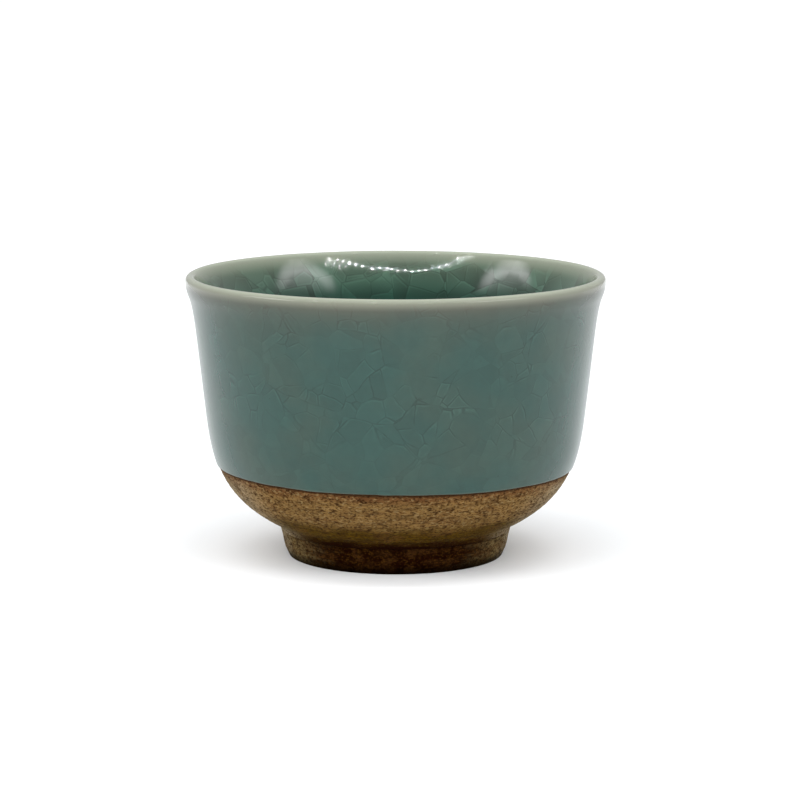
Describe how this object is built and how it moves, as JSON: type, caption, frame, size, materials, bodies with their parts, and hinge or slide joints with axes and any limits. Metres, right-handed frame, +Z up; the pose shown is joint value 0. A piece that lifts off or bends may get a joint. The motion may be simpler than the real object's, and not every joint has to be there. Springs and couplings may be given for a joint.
{
  "type": "matcha bowl",
  "caption": "Footed tea bowl for whisking matcha: thrown clay body, luted foot ring, glaze coats inside and out and over the lip.",
  "frame": {"origin": "centre of the foot ring's resting face, on the bowl's axis", "axes": "+Z up along the bowl's axis of turning; X and Y are level and alike, and the side in the picture faces -Y"},
  "size_m": [0.12, 0.12, 0.081],
  "materials": {
    "speckled_clay": "bare fired stoneware, tan brown with fine dark specks and turned bands, a reddish flash under the glaze line",
    "foot_clay": "bare fired stoneware, dark brown and speckled, worn smooth where it stands",
    "celadon_glaze": "glossy grey-green crackle glaze with fine lines",
    "inside_celadon_glaze": "glossy deeper green crackle glaze in larger plates",
    "thin_lip_glaze": "thin pale glaze over the lip, grey-cream fading into green"
  },
  "bodies": {
    "root": {"stoneware_body": "speckled_clay", "foot_ring": "foot_clay", "outer_glaze": "celadon_glaze", "inner_glaze": "inside_celadon_glaze", "lip_glaze": "thin_lip_glaze"}
  },
  "joints": []
}
